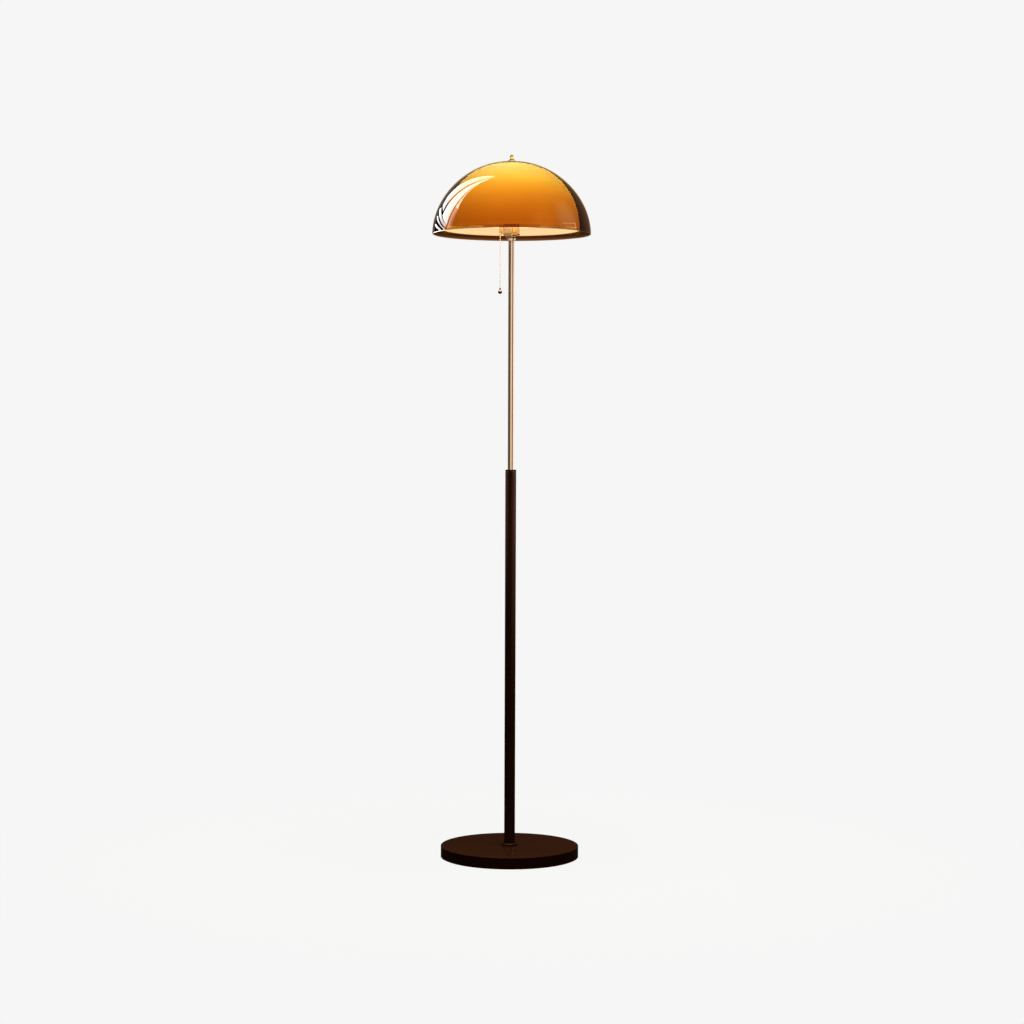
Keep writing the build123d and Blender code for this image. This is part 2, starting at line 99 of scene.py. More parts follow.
def join(tree, source, output, target, socket):
    tree.links.new(source.outputs[output], target.inputs[socket])


def newTree(name):
    material = bpy.data.materials.new(name)
    material.use_nodes = True
    tree = material.node_tree
    tree.nodes.clear()
    output = addNode(tree, "ShaderNodeOutputMaterial")
    return material, tree, output


# noise on Object coordinates, stretched by grain (cells per metre on each axis)
def grainNoise(tree, grain, detail, rough=0.55):
    place = addNode(tree, "ShaderNodeTexCoord")
    stretch = addNode(tree, "ShaderNodeMapping", {"Scale": grain})
    noise = addNode(tree, "ShaderNodeTexNoise", {"Scale": 1.0, "Detail": detail, "Roughness": rough})
    join(tree, place, "Object", stretch, "Vector")
    join(tree, stretch, "Vector", noise, "Vector")
    return noise


def mapFrom(tree, source, output, low, high, toLow, toHigh):
    spread = addNode(
        tree, "ShaderNodeMapRange",
        {"From Min": low, "From Max": high, "To Min": toLow, "To Max": toHigh},
    )
    join(tree, source, output, spread, "Value")
    return spread


# how the three noises of a finish are drawn: detail, and the part of the noise that counts
noiseUse = {
    "mottleDetail": 4.0, "mottleFrom": (0.35, 0.65),
    "rubDetail": 5.0, "rubRough": 0.6, "rubFrom": (0.3, 0.7),
    "grainDetail": 2.0,
}


# a finish with two close colours, uneven gloss and a fine surface
def makeFinish(name, look):
    material, tree, output = newTree(name)
    shader = addNode(tree, "ShaderNodeBsdfPrincipled", look["shader"])
    mottle = grainNoise(tree, look["mottle"], noiseUse["mottleDetail"])
    colours = addNode(tree, "ShaderNodeMix", data_type="RGBA")
    colours.inputs["A"].default_value = (*look["colour"], 1)
    colours.inputs["B"].default_value = (*look["second"], 1)
    join(tree, mapFrom(tree, mottle, "Fac", *noiseUse["mottleFrom"], 0, 1), "Result", colours, "Factor")
    join(tree, colours, "Result", shader, "Base Color")
    rub = grainNoise(tree, look["rub"], noiseUse["rubDetail"], noiseUse["rubRough"])
    join(tree, mapFrom(tree, rub, "Fac", *noiseUse["rubFrom"], *look["gloss"]), "Result", shader, "Roughness")
    fine = grainNoise(tree, look["grain"], noiseUse["grainDetail"])
    bump = addNode(
        tree, "ShaderNodeBump", {"Strength": look["bump"], "Distance": look["depth"] * millimetre},
    )
    join(tree, fine, "Fac", bump, "Height")
    join(tree, bump, "Normal", shader, "Normal")
    join(tree, shader, "BSDF", output, "Surface")
    return material


def evenly(cells):
    return (cells, cells, cells)


# finishes of the metal, paint and plastic: mottle, rub and grain in cells per metre, depth in millimetres
brownLacquer = {
    "colour": (0.080, 0.0235, 0.0075), "second": (0.070, 0.0200, 0.0062), "mottle": evenly(7),
    "gloss": (0.16, 0.20), "rub": evenly(24),
    "grain": evenly(420), "bump": 0.02, "depth": 0.02,
    "shader": {"Specular IOR Level": 0.25, "IOR": 1.5},
}
bronzeLacquer = {
    "colour": (0.026, 0.010, 0.005), "second": (0.020, 0.008, 0.004), "mottle": evenly(60),
    "gloss": (0.18, 0.26), "rub": evenly(120),
    "grain": evenly(900), "bump": 0.08, "depth": 0.03,
    "shader": {"Specular IOR Level": 0.5, "IOR": 1.5},
}
polishedBrass = {
    "colour": (0.86, 0.66, 0.49), "second": (0.81, 0.60, 0.43), "mottle": (40, 40, 6),
    "gloss": (0.07, 0.15), "rub": (900, 900, 14),
    "grain": (2600, 2600, 30), "bump": 0.10, "depth": 0.02,
    "shader": {"Metallic": 1.0},
}
finialBrass = {
    "colour": (0.86, 0.68, 0.33), "second": (0.80, 0.61, 0.27), "mottle": evenly(160),
    "gloss": (0.16, 0.26), "rub": evenly(500),
    "grain": evenly(2600), "bump": 0.06, "depth": 0.02,
    "shader": {"Metallic": 1.0},
}
collarLacquer = {
    "colour": (0.074, 0.0290, 0.0130), "second": (0.064, 0.0240, 0.0105), "mottle": evenly(30),
    "gloss": (0.30, 0.36), "rub": evenly(60),
    "grain": evenly(600), "bump": 0.02, "depth": 0.02,
    "shader": {"Specular IOR Level": 0.5, "IOR": 1.5},
}
cupBrass = {
    "colour": (0.74, 0.57, 0.42), "second": (0.68, 0.51, 0.36), "mottle": evenly(60),
    "gloss": (0.10, 0.18), "rub": (700, 700, 40),
    "grain": (2200, 2200, 90), "bump": 0.10, "depth": 0.02,
    "shader": {"Metallic": 1.0},
}
satinBrass = {
    "colour": (0.84, 0.63, 0.33), "second": (0.76, 0.54, 0.26), "mottle": evenly(90),
    "gloss": (0.20, 0.34), "rub": evenly(400),
    "grain": evenly(2400), "bump": 0.15, "depth": 0.02,
    "shader": {"Metallic": 1.0},
}
chainBrass = {
    "colour": (0.91, 0.86, 0.76), "second": (0.86, 0.79, 0.67), "mottle": evenly(300),
    "gloss": (0.22, 0.32), "rub": evenly(900),
    "grain": evenly(3000), "bump": 0.08, "depth": 0.02,
    "shader": {"Metallic": 1.0},
}
zincSteel = {
    "colour": (0.62, 0.62, 0.60), "second": (0.52, 0.53, 0.50), "mottle": evenly(120),
    "gloss": (0.28, 0.45), "rub": evenly(300),
    "grain": evenly(1200), "bump": 0.2, "depth": 0.03,
    "shader": {"Metallic": 1.0},
}
castIron = {
    "colour": (0.055, 0.052, 0.050), "second": (0.085, 0.070, 0.060), "mottle": evenly(60),
    "gloss": (0.6, 0.85), "rub": evenly(150),
    "grain": evenly(420), "bump": 0.8, "depth": 0.35,
    "shader": {"Metallic": 0.5},
}
blackRubber = {
    "colour": (0.022, 0.021, 0.020), "second": (0.030, 0.028, 0.027), "mottle": evenly(50),
    "gloss": (0.62, 0.80), "rub": evenly(200),
    "grain": evenly(1100), "bump": 0.5, "depth": 0.08,
    "shader": {"Specular IOR Level": 0.35},
}
nylonFinish = {
    "colour": (0.74, 0.71, 0.64), "second": (0.70, 0.66, 0.58), "mottle": evenly(80),
    "gloss": (0.42, 0.55), "rub": evenly(200),
    "grain": evenly(900), "bump": 0.2, "depth": 0.04,
    "shader": {"Subsurface Weight": 0.1},
}
sheathFinish = {
    "colour": (0.030, 0.029, 0.028), "second": (0.040, 0.038, 0.036), "mottle": evenly(90),
    "gloss": (0.48, 0.60), "rub": evenly(300),
    "grain": evenly(1300), "bump": 0.3, "depth": 0.04,
    "shader": {},
}
phenolicFinish = {
    "colour": (0.055, 0.030, 0.020), "second": (0.040, 0.020, 0.013), "mottle": evenly(110),
    "gloss": (0.30, 0.42), "rub": evenly(240),
    "grain": evenly(1400), "bump": 0.25, "depth": 0.03,
    "shader": {},
}
capAluminium = {
    "colour": (0.80, 0.80, 0.79), "second": (0.72, 0.72, 0.71), "mottle": evenly(140),
    "gloss": (0.25, 0.40), "rub": (300, 300, 1500),
    "grain": evenly(1800), "bump": 0.15, "depth": 0.02,
    "shader": {"Metallic": 1.0},
}
washerPlastic = {
    "colour": (0.80, 0.76, 0.68), "second": (0.74, 0.70, 0.62), "mottle": evenly(120),
    "gloss": (0.25, 0.40), "rub": evenly(260),
    "grain": evenly(1500), "bump": 0.1, "depth": 0.02,
    "shader": {"Subsurface Weight": 0.2},
}

finishOfSlot = {
    "rubber": makeFinish("blackRubber", blackRubber),
    "cast_iron": makeFinish("castIron", castIron),
    "brown_paint": makeFinish("brownLacquer", brownLacquer),
    "ferrule_bronze": makeFinish("bronzeLacquer", bronzeLacquer),
    "plated_steel": makeFinish("zincSteel", zincSteel),
    "polished_brass": makeFinish("polishedBrass", polishedBrass),
    "brass": makeFinish("satinBrass", satinBrass),
    "nylon": makeFinish("nylonFinish", nylonFinish),
    "cable_sheath": makeFinish("sheathFinish", sheathFinish),
    "phenolic": makeFinish("phenolicFinish", phenolicFinish),
    "cap_aluminium": makeFinish("capAluminium", capAluminium),
    "clear_plastic": makeFinish("washerPlastic", washerPlastic),
}
finishOfNode = {
    "pull_chain": makeFinish("chainBrass", chainBrass),
    "finial": makeFinish("finialBrass", finialBrass),
    "socket_cup": makeFinish("cupBrass", cupBrass),
    "base_collar": makeFinish("collarLacquer", collarLacquer),
}
finishOfNode["pull_link"] = finishOfNode["pull_chain"]
finishOfNode["chain_bell"] = finishOfNode["socket_cup"]
print("finishes made", len(finishOfSlot) + len(finishOfNode))

# lit and see-through finishes
innerLow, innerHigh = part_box("inner_diffuser")
outerLow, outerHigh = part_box("outer_dome")

# glow of the opal dome by height, from its rim to its crown, outside and inside
opalGlow = {
    "strength": 80.0,
    "outside": [
        (0.00, (0.054, 0.0335, 0.0055)),
        (0.07, (0.054, 0.0335, 0.0050)),
        (0.20, (0.066, 0.0460, 0.0068)),
        (0.30, (0.077, 0.0600, 0.0090)),
        (0.43, (0.099, 0.0880, 0.0208)),
        (0.52, (0.122, 0.1240, 0.0260)),
        (0.62, (0.138, 0.1780, 0.0510)),
        (0.715, (0.172, 0.2640, 0.1010)),
        (0.815, (0.212, 0.3520, 0.2260)),
        (0.92, (0.258, 0.4950, 0.5000)),
        (1.00, (0.300, 0.6800, 0.8500)),
    ],
    "inside": [
        (0.000, (0.00675, 0.00530, 0.0031)),
        (0.118, (0.00675, 0.00530, 0.0031)),
        (0.136, (0.03400, 0.02100, 0.0070)),
        (1.000, (0.04200, 0.03000, 0.0140)),
    ],
    "outsidePaint": (0.80, 0.72, 0.58),
    # the inside's paint is a darker copy of the opal's, painted shade that holds back the light bounced about
    # inside the dome
    "insidePaintShaded": (0.25, 0.20, 0.13),
    "roughness": 0.22,
    "uneven": 0.04,
    "cloud": 16,  # cells per metre
    "cloudDetail": 3.0,
    "cloudFrom": (0.3, 0.7),
}


def heightFactor(tree, low, high):
    place = addNode(tree, "ShaderNodeTexCoord")
    split = addNode(tree, "ShaderNodeSeparateXYZ")
    join(tree, place, "Object", split, "Vector")
    return mapFrom(tree, split, "Z", low, high, 0, 1)


def fillRamp(ramp, stops):
    elements = ramp.color_ramp.elements
    while len(elements) < len(stops):
        elements.new(0.5)
    for element, (place, colour) in zip(elements, stops):
        element.position = place
        element.color = (*colour, 1)


def makeOpal(name, stops, paint, look):
    material, tree, output = newTree(name)
    height = heightFactor(tree, innerLow.z, innerHigh.z)
    ramp = addNode(tree, "ShaderNodeValToRGB")
    fillRamp(ramp, stops)
    join(tree, height, "Result", ramp, "Fac")
    cloud = grainNoise(tree, evenly(look["cloud"]), look["cloudDetail"])
    shade = mapFrom(tree, cloud, "Fac", *look["cloudFrom"], 1 - look["uneven"], 1 + look["uneven"])
    tone = addNode(tree, "ShaderNodeVectorMath", operation="SCALE")
    join(tree, ramp, "Color", tone, 0)
    join(tree, shade, "Result", tone, "Scale")
    shader = addNode(
        tree, "ShaderNodeBsdfPrincipled",
        {"Base Color": (*paint, 1), "Roughness": look["roughness"], "Emission Strength": look["strength"]},
    )
    join(tree, tone, "Vector", shader, "Emission Color")
    join(tree, shader, "BSDF", output, "Surface")
    return material


# the smoked wall: what it lets through, its gloss and its slight waviness
smokedWall = {
    "clear": (0.120, 0.040, 0.0085),  # share of light that one wall lets through, straight on
    "clearAtEdge": (0.036, 0.012, 0.0026),  # and at a glancing angle
    "roughness": 0.015,
    "index": 1.49,
    "slant": 0.5,
    "wave": 0.015,
    "waveCells": 9,
    "waveDetail": 1.0,
    "waveDepth": 1.0,  # millimetres
    "gloss": (1.0, 1.0),  # at the rim and at the crown
    "glossInside": (0.05, 0.7),
    "clearInsidePaintedShading": [  # from the rim up: painted light at the edge, painted shade in the wall just above it, then the plain tint
        (0.00, (0.250, 0.100, 0.0370)),
        (0.02, (0.154, 0.053, 0.0130)),
        (0.04, (0.086, 0.019, 0.0032)),
        (0.06, (0.070, 0.011, 0.0013)),
        (0.10, (0.096, 0.028, 0.0051)),
        (0.14, (0.120, 0.040, 0.0085)),
    ],
}


# tinted where light enters a wall, clear where it leaves it, with gloss by angle
def makeSmoked(name, look, gloss, clearStopsPaintedShading=None):
    material, tree, output = newTree(name)
    side = addNode(tree, "ShaderNodeNewGeometry")
    slant = addNode(tree, "ShaderNodeLayerWeight", {"Blend": look["slant"]})
    wall = addNode(tree, "ShaderNodeMix", data_type="RGBA")
    wall.inputs["A"].default_value = (*look["clear"], 1)
    wall.inputs["B"].default_value = (*look["clearAtEdge"], 1)
    join(tree, slant, "Facing", wall, "Factor")
    height = heightFactor(tree, outerLow.z, outerHigh.z)
    # where given, a ramp by height replaces the straight-on tint, with painted light and painted shade in it
    if clearStopsPaintedShading:
        ramp = addNode(tree, "ShaderNodeValToRGB")
        fillRamp(ramp, clearStopsPaintedShading)
        join(tree, height, "Result", ramp, "Fac")
        join(tree, ramp, "Color", wall, "A")
    tint = addNode(tree, "ShaderNodeMix", data_type="RGBA")
    tint.inputs["B"].default_value = (1, 1, 1, 1)
    join(tree, wall, "Result", tint, "A")
    join(tree, side, "Backfacing", tint, "Factor")
    through = addNode(tree, "ShaderNodeBsdfTransparent")
    join(tree, tint, "Result", through, "Color")
    wave = grainNoise(tree, evenly(look["waveCells"]), look["waveDetail"])
    bump = addNode(
        tree, "ShaderNodeBump", {"Strength": look["wave"], "Distance": look["waveDepth"] * millimetre},
    )
    join(tree, wave, "Fac", bump, "Height")
    shine = addNode(tree, "ShaderNodeBsdfGlossy", {"Roughness": look["roughness"], "Color": (1, 1, 1, 1)})
    join(tree, bump, "Normal", shine, "Normal")
    angle = addNode(tree, "ShaderNodeFresnel", {"IOR": look["index"]})
    level = mapFrom(tree, height, "Result", 0, 1, *gloss)
    front = mapFrom(tree, side, "Backfacing", 0, 1, 1, 0)
    facing = addNode(tree, "ShaderNodeMath", operation="MULTIPLY")
    join(tree, angle, "Fac", facing, 0)
    join(tree, front, "Result", facing, 1)
    share = addNode(tree, "ShaderNodeMath", operation="MULTIPLY")
    join(tree, facing, "Value", share, 0)
    join(tree, level, "Result", share, 1)
    blend = addNode(tree, "ShaderNodeMixShader")
    join(tree, share, "Value", blend, "Fac")
    join(tree, through, "BSDF", blend, 1)
    join(tree, shine, "BSDF", blend, 2)
    join(tree, blend, "Shader", output, "Surface")
    return material


# the cut edge of the smoked wall, painted to glow: a painted highlight brightest at the front left, and a
# faint painted glow along the rest of the rim that fades at the right
lipGlow = {
    "colour": (0.10, 0.042, 0.020),
    "roughness": 0.12,
    "glow": (1.0, 0.80, 0.72),
    "near": 0.32, "far": 0.42, "nearToFar": (-0.03, 0.10),  # strengths, and where one turns into the other
    # the painted highlight at the front left: its strength and where it ends across and along the rim
    "left": 3.0, "leftEndsY": (-0.045, -0.032), "leftEndsX": (-0.150, -0.138),
    "right": 0.2, "rightStartsX": (0.140, 0.155),  # share that is left at the right end
}


def makeLip(look):
    material, tree, output = newTree("smokedLipPaintedGlow")
    shader = addNode(
        tree, "ShaderNodeBsdfPrincipled",
        {
            "Base Color": (*look["colour"], 1),
            "Roughness": look["roughness"],
            "Emission Color": (*look["glow"], 1),
        },
    )
    place = addNode(tree, "ShaderNodeTexCoord")
    split = addNode(tree, "ShaderNodeSeparateXYZ")
    join(tree, place, "Object", split, "Vector")
    # painted glow along the whole rim, a little stronger at the back; painted highlight at the front left
    # corner only
    back = mapFrom(tree, split, "Y", *look["nearToFar"], look["near"], look["far"])
    front = mapFrom(tree, split, "Y", *look["leftEndsY"], look["left"], 0)
    left = mapFrom(tree, split, "X", *look["leftEndsX"], 1, 0)
    right = mapFrom(tree, split, "X", *look["rightStartsX"], 1, look["right"])
    edge = addNode(tree, "ShaderNodeMath", operation="MULTIPLY")
    join(tree, back, "Result", edge, 0)
    join(tree, right, "Result", edge, 1)
    corner = addNode(tree, "ShaderNodeMath", operation="MULTIPLY")
    join(tree, front, "Result", corner, 0)
    join(tree, left, "Result", corner, 1)
    total = addNode(tree, "ShaderNodeMath", operation="ADD")
    join(tree, edge, "Value", total, 0)
    join(tree, corner, "Value", total, 1)
    join(tree, total, "Value", shader, "Emission Strength")
    join(tree, shader, "BSDF", output, "Surface")
    return material


bulbGlow = {
    "paint": (0.95, 0.92, 0.86),
    "roughness": 0.3,
    "strength": 5.0,
    "stops": [(0.0, (0.40, 0.258, 0.155)), (0.45, (1.0, 0.86, 0.62))],  # from the cap up
}


def makeBulb(look):
    material, tree, output = newTree("bulbOpal")
    shader = addNode(
        tree, "ShaderNodeBsdfPrincipled",
        {
            "Base Color": (*look["paint"], 1),
            "Roughness": look["roughness"],
            "Emission Strength": look["strength"],
        },
    )
    low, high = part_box("bulb_glass")
    height = heightFactor(tree, low.z, high.z)
    ramp = addNode(tree, "ShaderNodeValToRGB")
    fillRamp(ramp, look["stops"])
    join(tree, height, "Result", ramp, "Fac")
    join(tree, ramp, "Color", shader, "Emission Color")
    join(tree, shader, "BSDF", output, "Surface")
    return material


opalOutside = makeOpal("opalOutside", opalGlow["outside"], opalGlow["outsidePaint"], opalGlow)
opalInside = makeOpal("opalInside", opalGlow["inside"], opalGlow["insidePaintShaded"], opalGlow)
smokedAcrylic = makeSmoked("smokedAcrylic", smokedWall, smokedWall["gloss"])
smokedInside = makeSmoked("smokedInside", smokedWall, smokedWall["glossInside"], smokedWall["clearInsidePaintedShading"])
smokedLipPaintedGlow = makeLip(lipGlow)
bulbOpal = makeBulb(bulbGlow)
print("lit finishes made")

# finishes onto the nodes that keep their own shape
slotOfNode = {part["node"]: part["material_slot"] for part in frame["record"]["subparts"]}
finishOfSlot["bulb_opal"] = bulbOpal
finishOfSlot["smoked_acrylic"] = smokedAcrylic
finishOfSlot["opal_acrylic"] = opalOutside
for nodeName, node in frame["nodes"].items():
    finish = finishOfNode.get(nodeName, finishOfSlot[slotOfNode[nodeName]])
    for place in node.material_slots:
        place.material = finish
print("nodes dressed", len(frame["nodes"]))


# an object from a finished bmesh
def meshObject(name, shape, materials, sharpDegrees=35):
    mesh = bpy.data.meshes.new(name)
    shape.to_mesh(mesh)
    shape.free()
    for material in materials:
        mesh.materials.append(material)
    mesh.shade_smooth()
    mesh.set_sharp_from_angle(angle=math.radians(sharpDegrees))
    made = bpy.data.objects.new(name, mesh)
    scene.collection.objects.link(made)
    return made


# spins a closed outline of (radius, height) points about the pole's axis
def spunShape(outline, turns, mergeDistance=1e-6):
    shape = bmesh.new()
    ring = [shape.verts.new((radius, 0, height)) for radius, height in outline]
    edges = [shape.edges.new((a, b)) for a, b in zip(ring, ring[1:] + ring[:1])]
    bmesh.ops.spin(
        shape, geom=ring + edges, cent=(0, 0, 0), axis=(0, 0, 1), dvec=(0, 0, 0),
        angle=2 * math.pi, steps=turns, use_merge=True,
    )
    bmesh.ops.remove_doubles(shape, verts=shape.verts, dist=mergeDistance)
    bmesh.ops.recalc_face_normals(shape, faces=shape.faces)
    return shape


# the two domes: fullness 2 makes a side a quarter ellipse, and more makes it fuller
domeShape = {
    "crownRadius": 0.010,
    "boreRadius": 0.0032,
    "lip": 0.0006,
    "lipSteps": 8,
    "sideSteps": 56,
    "turns": 160,
}
smokedDome = {"wall": 0.0025, "fullness": 1.9}
opalDome = {"wall": 0.0025, "fullness": 2.1}


def domeSide(radius, low, high, fullness):
    points = []
    for i in range(domeShape["sideSteps"] + 1):
        angle = math.pi / 2 * i / domeShape["sideSteps"]
        out = max(math.cos(angle), 0) ** (2 / fullness)
        up = math.sin(angle) ** (2 / fullness)
        reach = radius - domeShape["crownRadius"]
        points.append((domeShape["crownRadius"] + reach * out, low + (high - low) * up))
    return points


def domeOutline(low, high, dome):
    rim, wall, lip, bore = high.x, dome["wall"], domeShape["lip"], domeShape["boreRadius"]
    outside = domeSide(rim, low.z + lip, high.z, dome["fullness"])
    inside = domeSide(rim - wall, low.z + lip, high.z - wall, dome["fullness"])
    crown = [(bore, high.z), (bore, high.z - wall)]
    rimArc = []
    for i in range(1, domeShape["lipSteps"]):
        across = i / domeShape["lipSteps"]
        rimArc.append((rim - wall + wall * across, low.z + lip * (1 - math.sin(math.pi * across))))
    return outside + crown + inside[::-1] + rimArc


def makeDome(name, node, dome, materials):
    low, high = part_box(node)
    shape = spunShape(domeOutline(low, high, dome), domeShape["turns"])
    centre = Vector((0, 0, low.z))
    for face in shape.faces:
        middle = face.calc_center_median()
        if middle.z < low.z + domeShape["lip"] and len(materials) > 2:
            face.material_index = 2  # the lip, where it has a finish of its own: the painted glow of the smoked rim
        else:
            face.material_index = 0 if face.normal.dot(middle - centre) > 0 else 1  # outside or inside
    made = meshObject(name, shape, materials)
    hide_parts(node)
    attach(made, "head")
    return made


smokedPiece = makeDome(
    "smoked_dome", "outer_dome", smokedDome, [smokedAcrylic, smokedInside, smokedLipPaintedGlow],
)
makeDome("opal_dome", "inner_diffuser", opalDome, [opalOutside, opalInside])
print("domes made")

# stage: a pale floor that fades out, and surroundings that are white to the camera and dim to all else
paleStage = {
    "white": 0.9216,
    "dim": (0.020, 0.013, 0.009),
    "floorRadius": 6.0,
    "floorSides": 96,
    "floorGlow": 0.89,
    "floorPaint": 0.07,
    "fadeStart": 0.35,
    "fadeEnd": 1.6,
}


def makeWorld(look):
    world = bpy.data.worlds.new("paleWorld")
    scene.world = world
    world.use_nodes = True
    tree = world.node_tree
    tree.nodes.clear()
    output = addNode(tree, "ShaderNodeOutputWorld")
    white = addNode(tree, "ShaderNodeBackground", {"Color": (*[look["white"]] * 3, 1)})
    dim = addNode(tree, "ShaderNodeBackground", {"Color": (*look["dim"], 1)})
    path = addNode(tree, "ShaderNodeLightPath")
    blend = addNode(tree, "ShaderNodeMixShader")
    join(tree, path, "Is Camera Ray", blend, "Fac")
    join(tree, dim, "Background", blend, 1)
    join(tree, white, "Background", blend, 2)
    join(tree, blend, "Shader", output, "Surface")


def makeFloor(look):
    material, tree, output = newTree("paleFloor")
    paint = addNode(tree, "ShaderNodeBsdfDiffuse", {"Color": (*[look["floorPaint"]] * 3, 1)})
    glow = addNode(tree, "ShaderNodeEmission", {"Color": (1, 1, 1, 1), "Strength": look["floorGlow"]})
    both = addNode(tree, "ShaderNodeAddShader")
    clear = addNode(tree, "ShaderNodeBsdfTransparent")
    place = addNode(tree, "ShaderNodeTexCoord")
    away = addNode(tree, "ShaderNodeVectorMath", operation="LENGTH")
    join(tree, place, "Object", away, 0)
    fade = mapFrom(tree, away, "Value", look["fadeStart"], look["fadeEnd"], 0, 1)
    fade.interpolation_type = "SMOOTHSTEP"
    blend = addNode(tree, "ShaderNodeMixShader")
    join(tree, paint, "BSDF", both, 0)
    join(tree, glow, "Emission", both, 1)
    join(tree, fade, "Result", blend, "Fac")
    join(tree, both, "Shader", blend, 1)
    join(tree, clear, "BSDF", blend, 2)
    join(tree, blend, "Shader", output, "Surface")
    shape = bmesh.new()
    bmesh.ops.create_circle(
        shape, cap_ends=True, segments=look["floorSides"], radius=look["floorRadius"],
    )
    floor = meshObject("floor", shape, [material])
    floor.visible_glossy = False
    floor.visible_diffuse = False


makeWorld(paleStage)
makeFloor(paleStage)
print("floor and surroundings made")

domeCentre = Vector((0, 0, 1.46))


# the pieces that a stage light falls on
def lightOn(name, pieces):
    group = bpy.data.collections.new(name)
    for piece in pieces:
        group.objects.link(piece)
    return group


def nodesNamed(*names):
    return [frame["nodes"][name] for name in names]


domeOnly = lightOn("domeOnly", [smokedPiece])
poleOnly = lightOn("poleOnly", nodesNamed("upper_tube", "neck_nut"))
tubeOnly = lightOn("tubeOnly", nodesNamed("upper_tube"))
nutOnly = lightOn("nutOnly", nodesNamed("neck_nut"))
cupOnly = lightOn("cupOnly", nodesNamed("socket_cup", "chain_bell"))
smallBrass = lightOn("smallBrass", nodesNamed("finial", "pull_chain", "pull_link"))
paintedPole = lightOn("paintedPole", nodesNamed("lower_tube", "tube_ferrule"))
baseOnly = lightOn("baseOnly", nodesNamed("base_cover", "base_collar"))


# a point seen from the dome at an angle left of the camera and a height above level
def lookout(sideDegrees, upDegrees, distance, eye=domeCentre):
    side, up = math.radians(sideDegrees), math.radians(upDegrees)
    return eye + distance * Vector((
        -math.sin(side) * math.cos(up), -math.cos(side) * math.cos(up), math.sin(up)
    ))


# a glow that lets whatever lies behind it through
def glowMaterial(name, colour, strength, fade=None):
    material, tree, output = newTree(name)
    glow = addNode(tree, "ShaderNodeEmission", {"Color": (*colour, 1), "Strength": strength})
    clear = addNode(tree, "ShaderNodeBsdfTransparent")
    both = addNode(tree, "ShaderNodeAddShader")
    join(tree, glow, "Emission", both, 0)
    join(tree, clear, "BSDF", both, 1)
    join(tree, both, "Shader", output, "Surface")
    if fade:
        centre, full, gone = fade
        place = addNode(tree, "ShaderNodeTexCoord")
        away = addNode(tree, "ShaderNodeVectorMath", {1: centre}, operation="DISTANCE")
        join(tree, place, "Object", away, 0)
        fall = mapFrom(tree, away, "Value", full, gone, strength, 0)
        fall.interpolation_type = "SMOOTHSTEP"
        join(tree, fall, "Result", glow, "Strength")
    return material


# a sheet of light between two rows of points, shown only in gloss
def glowSheet(name, firstRow, secondRow, material, receivers):
    shape = bmesh.new()
    for row in (firstRow, secondRow):
        chain = [shape.verts.new(p) for p in row]
        for a, b in zip(chain, chain[1:]):
            shape.edges.new((a, b))
    bmesh.ops.bridge_loops(shape, edges=shape.edges)
    sheet = meshObject(name, shape, [material])
    sheet.visible_camera = False
    sheet.visible_diffuse = False
    sheet.visible_transmission = False
    sheet.visible_shadow = False
    sheet.light_linking.receiver_collection = receivers


